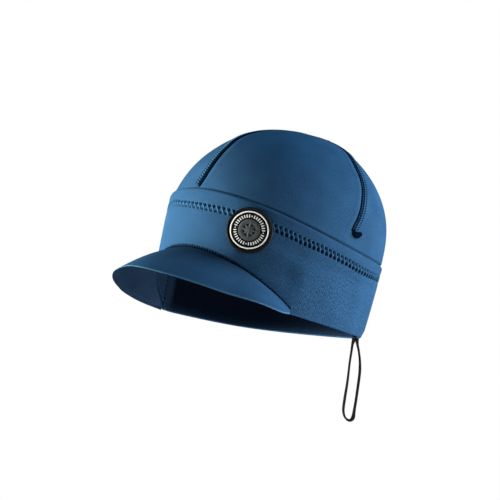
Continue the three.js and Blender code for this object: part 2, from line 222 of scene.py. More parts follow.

# Columns and rows of the visor, its rounded rim and the strip beside it that carries a painted highlight
VISOR_GRID = {"columns": 421, "top": 40, "rim": 9, "under": 36}
VISOR_RIM = {"reach": 0.7, "most": 0.3, "shortest": 0.01}
VISOR_BEVEL = {"edge": 0.45, "width": 9}
VISOR_HIGHLIGHT_BAND = {"width": 0.9, "most": 0.5}
# The bites shrink between two angles towards the visor's ends, to the share given here; the larger bites
# towards the middle also paint the shade above the seam
VISOR_STITCHES = {"pitch": 2.5, "below": 0.5, "rise": 2.8, "radius": 0.65, "end_share": 0.6,
                  "shrink_from": 25, "shrink_to": 60, "sunk": 0.1, "arch": 0.25, "root_sunk": 0.3}
VISOR_THREAD = {"radius": 0.6, "below": 0.15, "sunk": 0.35, "share": 0.995}

# Rounded raised rim of the badge: how far out from its radius, and how high
BADGE_RIM = ((-0.6, 0), (-0.15, 0.25), (0, 0.8), (0, 1.6), (-0.1, 2.2), (-0.4, 2.7), (-0.9, 3.0),
             (-1.4, 3.05), (-1.8, 2.9), (-2.1, 2.65), (-2.4, 2.5))
# How far the badge's face lies below its full thickness, and how far its white and grey marks
# stand above the face and reach into it
BADGE_SUNK = 0.1
BADGE_RELIEF = 0.2
# Medallion behind the star, and ticks inside the border, with short ones at the quarter turns
MEDALLION_RADII = (5, 8.6)
BORDER_BEVEL = {"bevel": 0.15, "drop": 0.15}
MEDALLION_BEVEL = {"bevel": 0.1, "drop": 0.08}
# The star rises from its edge to its middle: share of its radius, and height above the face
STAR_SLOPE = ((1, 0.12), (0.97, 0.2), (0.75, 0.4), (0.5, 0.6), (0.25, 0.8), (0, 1.0))
BADGE_TURNS = 144
STAR_TURNS = 128
TICK = {"radius": 11.1, "long": 1.2, "short": 0.45}
TICK_WIDTHS = {"base": 0.38, "top": 0.3, "bevel": 0.1}

STRAND_SIDES = 6
# Width of a thread at its last point and at the one before it
STRAND_ENDS = (0.3, 0.82)

# Camera: it looks at the aim point, which lies beside and above the origin
CAMERA = {
    "azimuth": 44.978,
    "elevation": -9.412,
    "distance": 1.27846,
    "aim_right": -0.01904,
    "aim_up": 0.05354,
    "roll": 13.69,
}

# Lights, by the direction that each stands in, round a point in the hat's middle
LIGHTS = {
    "key_left": {"angle": -39, "elevation": -12, "power": "key_power", "colour": (1.0, 0.9, 0.7)},
    "fill_right": {"angle": 135, "elevation": 15, "power": "fill_power", "colour": (1.0, 0.86, 0.74)},
    "top_back": {"angle": 140, "elevation": 58, "power": "top_power", "colour": (0.4, 0.93, 1.0)},
}
LIGHT_DISTANCE = 1.2
LIGHT_SIZE = 0.6
LIGHT_AIM_HEIGHT = 0.06
FLOOR = {"height": -0.5, "radius": 2.2, "points": 96}
FLOOR_COLOUR = (0.93, 0.93, 0.93)


# Curves and grids
def smooth(low, high, value):
    """Rises smoothly from 0 at low to 1 at high."""
    share = np.clip((value - low) / (high - low), 0, 1)
    return share * share * (3 - 2 * share)


def bell(distance, half_width, power=2):
    """1 at the middle, falling to 0.37 at half_width, and squarer for a higher power."""
    return np.exp(-(distance / half_width) ** power)


def mix(a, b, share):
    """The point between a and b at that share."""
    return a + (b - a) * share


def from_table(columns, at):
    """Reads a table's second column at places in its first, with straight lines between rows."""
    return np.interp(at, *columns.values())


def wave(angle, shape):
    return shape["once"] * np.cos(angle) + shape["twice"] * np.cos(2 * angle)


def signed_angle(angle):
    """The same angle between half a turn right and half a turn left."""
    return (np.asarray(angle) + HALF_TURN) % FULL_TURN - HALF_TURN


def unit(vectors):
    return vectors / np.maximum(np.linalg.norm(vectors, axis=-1, keepdims=True), 1e-9)


def path_length(points):
    """Length along the points, from the first to each."""
    return np.concatenate([[0], np.cumsum(np.linalg.norm(np.diff(points, axis=0), axis=1))])


def points_at(at, length, points):
    """Points of a path at the given lengths along it."""
    return np.stack([np.interp(at, length, points[:, i]) for i in range(3)], axis=-1)


def evenly(points, count):
    """The same path through count points spaced evenly along it."""
    length = path_length(points)
    return points_at(np.linspace(0, length[-1], count), length, points)


def curve_through(points):
    """A smooth curve through the points, drawn as the part draws it."""
    ends = [2 * points[0] - points[1], *points, 2 * points[-1] - points[-2]]
    share = np.linspace(0, 1, 60, endpoint=False)[:, None]
    pieces = []
    for p0, p1, p2, p3 in zip(ends, ends[1:], ends[2:], ends[3:]):
        d0, d1, d2 = (math.sqrt(np.linalg.norm(b - a)) for a, b in ((p0, p1), (p1, p2), (p2, p3)))
        out = ((p1 - p0) / d0 - (p2 - p0) / (d0 + d1) + (p2 - p1) / d1) * d1
        into = ((p2 - p1) / d1 - (p3 - p1) / (d1 + d2) + (p3 - p2) / d2) * d1
        square = -3 * p1 + 3 * p2 - 2 * out - into
        cube = 2 * p1 - 2 * p2 + out + into
        pieces.append(p1 + out * share + square * share ** 2 + cube * share ** 3)
    return np.concatenate([*pieces, points[-1:]])


def grid_normals(grid):
    """Unit normals of a grid of points, pointing outwards for columns that go round leftwards."""
    return unit(np.cross(np.gradient(grid, axis=0), np.gradient(grid, axis=1)))


def grid_uvs(across, along):
    """Texture coordinates of a grid: a length across for each column and one along for each row."""
    return np.stack(np.broadcast_arrays(across[:, None], along[None, :]), axis=-1)


# Meshes
def new_object(name, data):
    thing = bpy.data.objects.new(name, data)
    bpy.context.scene.collection.objects.link(thing)
    return thing


def mesh_from(name, points, faces, kinds, face_materials=None, corner_uvs=None, flat=False):
    """An object from points in millimetres, with the materials of those kinds."""
    mesh = bpy.data.meshes.new(name)
    mesh.from_pydata((np.asarray(points) * MM).tolist(), [], faces)
    for kind in kinds:
        mesh.materials.append(material_for(kind))
    mesh.polygons.foreach_set("use_smooth", np.full(len(mesh.polygons), not flat))
    if face_materials is not None:
        mesh.polygons.foreach_set("material_index", np.asarray(face_materials, np.int32))
    if corner_uvs is not None:
        layer = mesh.uv_layers.new(name="cloth")
        layer.data.foreach_set("uv", np.asarray(corner_uvs, np.float32).ravel())
    mesh.validate()
    mesh.update()
    return new_object(name, mesh)


def grid_faces(columns, length, joins):
    """Faces that join columns, each a closed loop of points, and each face's column and step."""
    i, k = (part.ravel() for part in np.meshgrid(np.arange(joins), np.arange(length), indexing="ij"))
    far, up = (i + 1) % columns, (k + 1) % length
    faces = np.stack([i * length + k, far * length + k, far * length + up, i * length + up], axis=1)
    return faces.tolist(), i, k


def add_wall(name, grid, uvs, kinds, row_materials, slot, replaced, closed_round=False):
    """A closed wall from a grid of columns, each a closed loop round the wall's section.

    uvs has one more row than the grid in each direction that closes, so that a texture
    runs on over the join. row_materials gives the material of each step along a column."""
    columns, length, _ = grid.shape
    faces, i, k = grid_faces(columns, length, columns if closed_round else columns - 1)
    corners = [uvs[i, k], uvs[i + 1, k], uvs[i + 1, k + 1], uvs[i, k + 1]]
    corner_uvs = np.stack(corners, axis=1).reshape(-1, 2)
    face_materials = np.asarray(row_materials)[k].tolist()
    if not closed_round:
        for first, order in ((0, -1), ((columns - 1) * length, 1)):
            ends = (first + np.array(zip_section(length)))[:, ::order].tolist()
            faces += ends
            face_materials += [row_materials[-1]] * len(ends)
            corner_uvs = np.concatenate([corner_uvs, np.zeros((3 * len(ends), 2))])
    wall = mesh_from(name, grid.reshape(-1, 3), faces, kinds, face_materials, corner_uvs)
    return finish_piece(wall, slot, replaced)


def zip_section(length):
    """Triangles that close a section whose loop runs out along one side and back along the other."""
    triangles = []
    low, high = 0, length - 1
    while high - low > 1:
        triangles.append((low, low + 1, high))
        low += 1
        if high - low > 1:
            triangles.append((low, high - 1, high))
            high -= 1
    return triangles


def finish_piece(piece, slot, *replaced):
    """Every piece rides on the one body, and the imported parts it replaces are hidden; slot is not used."""
    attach(piece, "root")
    if replaced:
        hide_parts(*replaced)
    return piece


def stack_faces(stacks, rings, sides):
    """Faces of stacks of rings of points, closed at both ends."""
    first = (np.arange(stacks) * rings * sides)[:, None]
    side, after = np.arange(sides), np.roll(np.arange(sides), -1)
    ring = (first + np.arange(rings - 1) * sides).reshape(-1, 1)
    walls = np.stack([ring + side, ring + after, ring + sides + after, ring + sides + side], axis=-1)
    bottoms, tops = first + side[::-1], first + (rings - 1) * sides + side
    return walls.reshape(-1, 4).tolist() + bottoms.tolist() + tops.tolist()


def add_strands(name, paths, normals, radius, kind):
    """Threads with rounded ends. paths and normals hold the points of each thread."""
    threads, count, _ = paths.shape
    tangents = unit(np.gradient(paths, axis=1))
    wide = unit(np.cross(tangents, np.broadcast_to(normals, paths.shape)))
    tall = np.cross(wide, tangents)
    size = np.ones(count)
    size[[0, -1]], size[[1, -2]] = STRAND_ENDS
    turn = (np.arange(STRAND_SIDES) * FULL_TURN / STRAND_SIDES)[:, None]
    ring = np.cos(turn) * wide[:, :, None] + np.sin(turn) * tall[:, :, None]
    ring = np.reshape(radius, (-1, 1, 1, 1)) * size[:, None, None] * ring
    points = (paths[:, :, None] + ring).reshape(-1, 3)
    finish_piece(mesh_from(name, points, stack_faces(threads, count, STRAND_SIDES), [kind]), "cloth")


# Materials
class Finish:
    """A material, and the nodes that vary its colour and its surface."""

    def __init__(self, name, colour, roughness, specular=0.0):
        self.material = bpy.data.materials.new(name)
        self.material.use_nodes = True
        self.tree = self.material.node_tree
        self.colour = colour
        self.shader = self.tree.nodes["Principled BSDF"].inputs
        self.shader["Base Color"].default_value = (*colour, 1)
        self.shader["Roughness"].default_value = roughness
        self.shader["Specular IOR Level"].default_value = specular
        self.places = self.add("TexCoord", {}).outputs

    def add(self, kind, inputs, **settings):
        """A node whose inputs are sockets or values."""
        node = self.tree.nodes.new(f"ShaderNode{kind}")
        for key, value in settings.items():
            setattr(node, key, value)
        for key, value in inputs.items():
            if isinstance(value, bpy.types.NodeSocket):
                self.tree.links.new(value, node.inputs[key])
            else:
                node.inputs[key].default_value = value
        return node

    def texture(self, kind, place, scale, inputs, **settings):
        return self.add(f"Tex{kind}", {"Vector": place, "Scale": scale, **inputs}, **settings).outputs["Fac"]

    def combine(self, operation, a, b):
        return self.add("Math", {0: a, 1: b}, operation=operation).outputs[0]

    def rise(self, value, low, high, top):
        """Rises smoothly from 0 where value is low to top where it is high."""
        ends = {"Value": value, "From Min": low, "From Max": high, "To Min": 0, "To Max": top}
        return self.add("MapRange", ends, interpolation_type="SMOOTHSTEP").outputs["Result"]

    def blend(self, a, b, factor):
        """Sets the base colour between a and b by a 0 to 1 factor."""
        inputs = {"A": (*a, 1), "B": (*b, 1), "Factor": factor}
        blended = self.add("Mix", inputs, data_type="RGBA").outputs["Result"]
        self.tree.links.new(blended, self.shader["Base Color"])

    def shade(self, factor, dark, light):
        """Varies the base colour between dark and light shares of it by a 0 to 1 factor."""
        self.blend([dark * c for c in self.colour], [light * c for c in self.colour], factor)

    def bump(self, height, strength, distance):
        inputs = {"Height": height, "Strength": strength, "Distance": distance}
        self.tree.links.new(self.add("Bump", inputs).outputs["Normal"], self.shader["Normal"])


def make_cloth(name, colour, roughness, pile):
    """Stretch jersey: fine slanting ribs, a grain of loops and soft clouding.

    Its texture coordinates are millimetres on the cloth."""
    cloth = Finish(name, colour, roughness)
    place = cloth.places["UV"]
    slanted = cloth.add("Mapping", {"Vector": place, "Rotation": (0, 0, -1.05)}).outputs["Vector"]
    ribs = cloth.texture("Wave", slanted, 0.24, {"Distortion": 0.8, "Detail": 1.0, "Detail Scale": 1.5})
    grain = cloth.texture("Noise", place, 0.86, {"Detail": 2.0, "Roughness": 0.85})
    clouds = cloth.texture("Noise", place, 0.045, {"Detail": 2.0})
    cloth.bump(cloth.combine("ADD", cloth.combine("MULTIPLY", ribs, 0.5), grain), pile, distance=0.0004)
    grain_share, rib_share, cloud_share = 0.63, 0.12, 0.25
    speckle = cloth.rise(grain, 0.18, 0.82, grain_share)
    woven = cloth.combine("ADD", speckle, cloth.combine("MULTIPLY", ribs, rib_share))
    clouded = cloth.combine("ADD", woven, cloth.combine("MULTIPLY", clouds, cloud_share))
    cloth.shade(clouded, dark=0.0, light=2.0)
    return cloth.material


def make_inner_painted_light(name, dark, light):
    """The cuff's inner face: dark, with painted light towards its lower edge and beside the visor."""
    inner = Finish(name, dark, roughness=0.75)
    place = inner.add("SeparateXYZ", {"Vector": inner.places["UV"]}).outputs
    half = ROW_LENGTH / 2
    from_back = inner.combine("ABSOLUTE", inner.combine("SUBTRACT", place["X"], half), 0)
    painted_light_ends = [half - row_distance(PAINTED_LIGHT_END[end] * DEGREE) for end in ("to", "from")]
    seam = half - row_distance(INNER_SEAM_ANGLE * DEGREE)
    # Painted light: the inner face is lighter beside the visor, and lighter still past the inner seam
    facing = inner.rise(from_back, *painted_light_ends, PAINTED_LIGHT_TONES["strip"])
    fold = inner.rise(from_back, seam - INNER_SEAM_BLUR, seam + INNER_SEAM_BLUR,
                      PAINTED_LIGHT_TONES["fold"] - PAINTED_LIGHT_TONES["strip"])
    # Painted light: the inner face is lighter towards its lower edge, at the opening
    lower = inner.rise(place["Y"], INNER_PAINTED_LIGHT["from"], 1, 1)
    lower = inner.combine("POWER", lower, INNER_PAINTED_LIGHT["power"])
    lower = inner.combine("MULTIPLY", lower, INNER_PAINTED_LIGHT["most"])
    inner.blend(dark, light, inner.combine("MAXIMUM", inner.combine("ADD", facing, fold), lower))
    grain = inner.texture("Noise", inner.places["Object"], 600.0, {"Detail": 2.0})
    inner.bump(grain, strength=0.3, distance=0.0004)
    return inner.material


def make_thread(name, colour):
    """Spun thread: fine ridges that wind round it."""
    thread = Finish(name, colour, roughness=0.6)
    twist = thread.texture("Wave", thread.places["Object"], 700.0, {"Distortion": 1.0},
                           bands_direction="DIAGONAL")
    thread.bump(twist, strength=0.4, distance=0.0002)
    thread.shade(twist, dark=0.8, light=1.2)
    return thread.material


def make_rubber(name, colour, roughness):
    """Moulded soft rubber: faint mottling and a fine matt grain."""
    rubber = Finish(name, colour, roughness, specular=0.006)
    place = rubber.places["Object"]
    grain = rubber.texture("Noise", place, 2600.0, {"Detail": 2.0})
    rubber.bump(grain, strength=0.15, distance=0.0002)
    mottling = rubber.texture("Noise", place, 180.0, {"Detail": 3.0})
    rubber.shade(mottling, dark=0.85, light=1.15)
    return rubber.material


def make_tape(name, colour):
    """Woven tape: fine cross ribs."""
    tape = Finish(name, colour, roughness=0.7)
    place = tape.places["Object"]
    ribs = tape.texture("Wave", place, 420.0, {"Distortion": 0.6}, bands_direction="Z")
    grain = tape.texture("Noise", place, 2200.0, {"Detail": 2.0})
    tape.bump(tape.combine("ADD", ribs, grain), strength=0.4, distance=0.0003)
    tape.shade(grain, dark=0.6, light=1.5)
    return tape.material


def make_floor(name, colour):
    """A matt floor with a trace of mottling."""
    floor = Finish(name, colour, roughness=0.9, specular=0.1)
    mottling = floor.texture("Noise", floor.places["Object"], 60.0, {"Detail": 4.0})
    floor.shade(mottling, dark=0.98, light=1.02)
    return floor.material


MATERIALS = {}


def material_for(kind):
    """Makes each material once, from the colours in the panel."""
    scene = bpy.context.scene
    cloth, badge, loop = scene.beanie_cloth, scene.beanie_badge, scene.beanie_loop
    makers = {
        "cloth": lambda: make_cloth("jersey", cloth.cloth_colour, roughness=0.5, pile=0.22),
        # Painted shade under the visor
        "lining": lambda: make_cloth("lining", cloth.underside_shade_colour, roughness=0.75, pile=0.3),
        # Dark inside with painted light beside the visor and towards the hem
        "inner": lambda: make_inner_painted_light("inner_lining", cloth.dark_cloth_and_shade_colour, cloth.painted_light_colour),
        # Dark inner cloth with painted shade, inside the crown, in the fold's turn and under the visor's rim
        "dark_lining": lambda: make_cloth("dark_lining", cloth.dark_cloth_and_shade_colour, roughness=0.75, pile=0.3),
        # Painted highlight along the visor's rim
        "edge": lambda: make_cloth("edge_binding", cloth.rim_highlight_colour, roughness=0.5, pile=0.2),
        "dark_thread": lambda: make_thread("dark_thread", cloth.dark_thread_and_shade_colour),
        "light_thread": lambda: make_thread("light_thread", cloth.light_thread_colour),
        "seam_thread": lambda: make_thread("seam_thread", cloth.seam_thread_colour),
        "rubber": lambda: make_rubber("black_rubber", badge.rubber_colour, roughness=0.45),
        "print": lambda: make_rubber("white_rubber", badge.print_colour, roughness=0.55),
        "mark": lambda: make_rubber("grey_rubber", badge.mark_colour, roughness=0.5),
        "tape": lambda: make_tape("tape_weave", loop.tape_colour),
        "floor": lambda: make_floor("pale_floor", FLOOR_COLOUR),
    }
    if kind not in MATERIALS:
        MATERIALS[kind] = makers[kind]()
    return MATERIALS[kind]


# Shape of the cuff
def swelling(angle, shape):
    """Height of a swelling that spreads a few degrees to each side of its middle."""
    away = (np.asarray(angle) / DEGREE - shape["middle"] + 180) % 360 - 180
    return shape["amount"] * bell(away, shape["half_spread"])


def cuff_top(angle):
    return CUFF_HEIGHT + wave(angle, CUFF_TOP_WAVE) + swelling(angle, CUFF_TOP_RISE)


def hem_height(angle):
    return wave(angle, HEM_WAVE) - swelling(angle, HEM_DIP)


def visor_arch(angle):
    """Height of the cuff's cut edge over the visor."""
    across = np.clip(angle / VISOR_END, -1, 1)
    rise = VISOR_ARCH_RISE * np.cos(across * math.pi / 2) ** VISOR_ARCH_POWER
    end = hem_height(VISOR_END)
    dip = (end - hem_height(-VISOR_END)) * np.maximum(0, -across) ** VISOR_DIP_POWER
    return end - dip + VISOR_THICKNESS + rise


def cuff_bottom(angle):
    """Height of the cuff's lower edge all the way round."""
    beside = np.abs(signed_angle(angle)) <= VISOR_END + NOTCH_CLEARANCE + 1e-6
    return np.where(beside, visor_arch(signed_angle(angle)), hem_height(angle))


def furrow_depth(angle, z):
    turn = (np.asarray(angle) % FULL_TURN) / DEGREE
    depth = 0
    for furrow in FURROWS:
        faded = smooth(*FURROW_FADE, np.abs(turn - furrow["middle"]) / furrow["half_spread"])
        away = z - (cuff_top(angle) - furrow["below_top"])
        depth = depth + furrow["depth"] * (1 - faded) * bell(away, furrow["half_width"])
    return depth


def outward(angle):
    """The cuff's outward direction at an angle."""
    return unit(np.stack([np.sin(angle) / CUFF_HALF_WIDTH, -np.cos(angle) / CUFF_HALF_LENGTH,
                          np.zeros_like(angle)], axis=-1))


def cuff_point(angle, z, inset):
    """A point on the cuff's smooth outer face, moved inwards by inset."""
    angle, z, inset = np.broadcast_arrays(angle, z, inset)
    rise = np.clip(z / CUFF_HEIGHT, 0, 1) ** CUFF_FLARE_POWER
    scale = mix(HEM_SCALE, 1, rise)
    face = np.stack([CUFF_HALF_WIDTH * scale * np.sin(angle), -CUFF_HALF_LENGTH * scale * np.cos(angle), z],
                    axis=-1)
    return face - inset[..., None] * outward(angle)


def stitch_row():
    """Angles round the cuff and how far along the row of stitches each lies from the front."""
    angles = np.linspace(0, FULL_TURN, 4001)
    return angles, path_length(cuff_point(angles, STITCH_LINE_HEIGHT, 0))


def stitch_place(number):
    """Angle of a stitch, whole or in parts, and how far along the row it stands."""
    angles, length = stitch_row()
    along = from_table(STITCH_PLACES, number % STITCHES_ROUND) * length[-1] / ROW_LENGTH
    return np.interp(along, length, angles), along


def row_distance(angle):
    """Length along the stitch row from the front to an angle."""
    return float(np.interp(angle, *stitch_row()))


def stitch_row_height(angle):
    return cuff_top(angle) - from_table(STITCH_ROW_DROP, signed_angle(angle) / DEGREE)


def from_front(values, angle):
    """Goes from the first value at the front to the second at the sides and the back."""
    turn = np.abs(signed_angle(angle)) / DEGREE
    return mix(*values, smooth(SLOT_GROWTH["from"], SLOT_GROWTH["to"], turn))


def channel_depth(above_row):
    """The shallow channel that the whole row of stitches lies in."""
    return STITCH_CHANNEL["depth"] * bell(above_row, STITCH_CHANNEL["half_width"])


def slot_depth(angle, number, above_row, depth):
    """Dents of two rows of slanting stitches, the lower row half a stitch on, and their links."""
    lean = SLOT["lean"] * DEGREE
    reach = SLOT["row_offset"]
    middle = (number - 0.25 + 0.25 * above_row / reach + 0.5) % 1 - 0.5
    total = from_front(SLOT_LINK["share"], angle) * bell(middle * STITCH_PITCH, SLOT_LINK["half_width"])
    total = total * bell(above_row, reach, 4)
    for row, side, shift in SLOT_ROWS:
        size = from_front(SLOT_SIZE[row], angle)
        s = ((number - shift + 0.5) % 1 - 0.5) * STITCH_PITCH
        z = above_row - side * reach
        along = (s * math.sin(lean) - z * math.cos(lean)) / size
        across = (s * math.cos(lean) + z * math.sin(lean)) / size
        total = np.maximum(total, bell(across, SLOT["half_width"]) * bell(along, SLOT["half_length"], 4))
    return depth * total


def make_cuff_grid(depth):
    """Columns of the cuff's section, each a closed loop, with texture coordinates and materials."""
    count = STITCHES_ROUND * COLUMNS_PER_STITCH
    number = np.arange(count) / COLUMNS_PER_STITCH
    angles, along_row = stitch_place(number)
    notch = VISOR_END + NOTCH_CLEARANCE
    for side, step in ((notch, 1), (FULL_TURN - notch, -1)):
        inside = np.argmin(np.abs(angles - side))
        angles[inside] = side
        angles[inside + step] = side + step * NOTCH_CLEARANCE
    a = angles[:, None]
    top, bottom, row = cuff_top(a), cuff_bottom(a), stitch_row_height(a)
    centre = top - FOLD_RADIUS
    steps = []

    def add(z, inset, material=0, detailed=False):
        z = np.broadcast_to(z, (count, z.shape[1]))
        inset = inset + furrow_depth(a, z)
        if detailed:
            inset = inset + channel_depth(z - row) + slot_depth(a, number[:, None], z - row, depth)
        steps.append((z, inset, [material] * z.shape[1]))

    def between(low, high, stretch, last=False):
        return mix(low, high, np.linspace(0, 1, CUFF_ROWS[stretch], endpoint=last))

    turn = np.linspace(0, HALF_TURN, CUFF_ROWS["hem"], endpoint=False)
    tuck = np.where(bottom > hem_height(a) + 1, 0, HEM_TUCK["inset"])
    hem = bottom + HEM_EDGE
    add(bottom + HEM_EDGE * (1 - np.sin(turn)), CLOTH / 2 * (1 + np.cos(turn)) + tuck)
    low = between(hem, row - STITCH_BAND, "low")
    add(low, tuck * (1 - smooth(0, HEM_TUCK["height"], low - hem)), detailed=True)
    add(between(row - STITCH_BAND, row + STITCH_BAND, "stitches"), 0, detailed=True)
    add(between(row + STITCH_BAND, centre, "high"), 0, detailed=True)
    turn = np.linspace(0, HALF_TURN, CUFF_ROWS["fold"], endpoint=False)
    add(centre + FOLD_RADIUS * np.sin(turn), FOLD_RADIUS * (1 - np.cos(turn)))
    add(between(centre, top - FOLD_DEPTH, "turned_in", True), 2 * FOLD_RADIUS)
    add(between(top - FOLD_DEPTH, centre, "back"), 2 * FOLD_RADIUS - CLOTH)
    turn = np.linspace(HALF_TURN, 0, CUFF_ROWS["slot"], endpoint=False)
    add(centre + GAP * np.sin(turn), FOLD_RADIUS - GAP * np.cos(turn), 1)
    add(between(centre, hem, "inside"), CLOTH, 2)

    z, inset = (np.concatenate([step[part] for step in steps], axis=1) for part in (0, 1))
    materials = [material for step in steps for material in step[2]]
    grid = cuff_point(a, z, inset)
    section = path_length(grid[0])
    section[-CUFF_ROWS["inside"]:] = np.linspace(0, 1, CUFF_ROWS["inside"], endpoint=False)
    return grid, grid_uvs(np.append(along_row, ROW_LENGTH), np.append(section, 1)), materials


# Shape of the crown
def signed_power(value, power):
    return np.sign(value) * np.abs(value) ** power


def crown_section(z):
    """How far up the dome a height is, how far its section has closed there, and its roundness."""
    rise = np.clip((z - CROWN_SHOULDER) / (CROWN_TOP - CROWN_SHOULDER), 0, 1)
    close = (1 - rise ** CROWN_RISE_POWER) ** (1 / CROWN_CLOSE_POWER)
    return rise, close, 2 / (2 - (2 - CROWN_TOP_SECTION) * rise)


def seam_drift(angle, z):
    """How far the front seam wanders to the wearer's left."""
    return from_table(SEAM_DRIFT, z) * (np.cos(angle) > 0)


def crown_point(angle, z, inset):
    """A point on the crown's smooth outer face, moved inwards by inset."""
    angle, z, inset = np.broadcast_arrays(angle, z, inset)
    rise, close, power = crown_section(z)
    free = np.stack([
        (CROWN_HALF_WIDTH - inset) * close * signed_power(np.sin(angle), power),
        -(CROWN_HALF_LENGTH - inset) * close * signed_power(np.cos(angle), power) + CROWN_LEAN_BACK * rise,
        z - inset * rise,
    ], axis=-1)
    free[..., 0] += seam_drift(angle, z) * bell(free[..., 0], SEAM_DRIFT_HALF_WIDTH)
    top = cuff_top(angle)
    over = np.clip((z - top + FOLD_RADIUS) / FOLD_RADIUS, 0, 1)
    behind = FOLD_RADIUS * (1 + np.sqrt(1 - over ** 2)) + GAP / 2
    tucked = cuff_point(angle, z, behind + inset)
    return mix(tucked, free, smooth(top - FOLD_RADIUS / 8, top + CROWN_TUCK_HEIGHT, z)[..., None])


def crown_normal(angle, z):
    """Outward normal of the smooth crown, found from neighbouring points."""
    step = 1e-3
    across = crown_point(angle + step, z, 0) - crown_point(angle - step, z, 0)
    up = crown_point(angle, np.minimum(z + step, CROWN_TOP), 0) - crown_point(angle, z - step, 0)
    return unit(np.cross(across, up))


def groove_depth(away, shape):
    """A groove with a soft swelling beside it."""
    swelled = shape["swell"] * bell(away - shape["swell_width"], shape["swell_width"] / 2)
    return shape["depth"] * bell(away, shape["half_width"]) - swelled


def crown_detail_depth(angle, z, points):
    """How deep the seam and dart grooves lie, with the pucker under the dart's end."""
    seam_away = np.abs(points[..., 0] - seam_drift(angle, z))
    dart_away = np.abs(points[..., 1] - CROWN_LEAN_BACK * crown_section(z)[0] - from_table(DART_DRIFT, z))
    above_end = z - DART_END
    dart = groove_depth(dart_away, DART) * smooth(-DART_FADE["below"], DART_FADE["above"], above_end)
    above_pucker = above_end + DART_PUCKER["below_end"]
    under = np.hypot(dart_away / DART_PUCKER["half_width"], above_pucker / DART_PUCKER["half_height"])
    side = np.abs(points[..., 0]) > DART_CLEAR_OF_SEAM
    return groove_depth(seam_away, SEAM) + np.where(side, dart + DART_PUCKER["depth"] * bell(under, 1), 0)


def on_crown(angles, heights):
    """Points on the detailed cloth, with their normals."""
    points, normals = crown_point(angles, heights, 0), crown_normal(angles, heights)
    return points - normals * crown_detail_depth(angles, heights, points)[..., None], normals


def make_crown_grid(start):
    """Columns of a crown half's section, each out along the face and back inside it."""
    rows = CROWN_ROWS
    angle = (start + np.linspace(0, 180, CROWN_COLUMNS))[:, None] * DEGREE
    top = cuff_top(angle)
    visible = top + CROWN_TUCK_HEIGHT
    hidden = top - FOLD_RADIUS
    tucked = top - CROWN_TUCKED_LENGTH
    quarter = math.pi / 2
    low = mix(tucked, hidden, np.linspace(0, 1, rows["tucked"], endpoint=False))
    neck = mix(hidden, visible, np.sin(np.linspace(0, quarter, rows["neck"])))
    dome = mix(visible, CROWN_TOP, np.sin(np.linspace(0, quarter, rows["dome"])[1:]))
    z = np.concatenate([low, neck, dome], axis=1)
    outer = crown_point(angle, z, 0)
    normals = grid_normals(outer)
    normals[:, -1] = UP
    fade = smooth(CROWN_FADE["start"], CROWN_FADE["above_cuff"], z - top)
    fade = fade * smooth(0, CROWN_FADE["below_top"], CROWN_TOP - z)
    outer = outer - normals * (crown_detail_depth(angle, z, outer) * fade)[..., None]
    dome = mix(visible, CROWN_TOP, np.sin(np.linspace(quarter, 0, rows["inner_dome"])))
    neck = mix(tucked, visible, np.linspace(1, 0, rows["inner_neck"])[1:])
    inner = crown_point(angle, np.concatenate([dome, neck], axis=1), CLOTH)
    grid = np.concatenate([outer, inner], axis=1)
    materials = [0] * outer.shape[1] + [1] * inner.shape[1]
    across = path_length(crown_point(angle[:, 0], visible[:, 0], 0))
    up = path_length(grid[CROWN_COLUMNS // 2])
    return grid, grid_uvs(across, np.append(up, up[-1])), materials


def crown_turn(away, z, half_size):
    """How far round the crown the points lie that are away from its middle, and which are on it."""
    _, close, power = crown_section(z)
    share = np.abs(away) / np.maximum(half_size * close, 1e-6)
    keep = share < LINE_REACH
    return np.arcsin(share[keep] ** (1 / power[keep])), keep


def seam_line(away):
    """Angles and heights on the crown along the front-to-back seam, away to its right side (-X)."""
    z = mix(CROWN_TOP, SEAM_LINE["low"], np.linspace(1, 0, SEAM_LINE["points"]) ** 2)
    turn, keep = crown_turn(away, z, CROWN_HALF_WIDTH)
    turns = np.concatenate([-turn, (HALF_TURN + turn)[::-1]])
    heights = np.concatenate([z[keep], z[keep][::-1]])
    above = heights > cuff_top(turns) + SEAM_LINE["above_cuff"]
    return turns[above], heights[above]


def dart_line(away, side):
    """Angles and heights on the crown along a side dart, away towards the back."""
    z = mix(CROWN_TOP, DART_END, np.linspace(1, DART_LINE["short"], DART_LINE["points"]) ** 2)
    back = away + from_table(DART_DRIFT, z)
    turn, keep = crown_turn(back, z, CROWN_HALF_LENGTH)
    return (math.pi / 2 + np.sign(back[keep]) * turn) * side, z[keep]


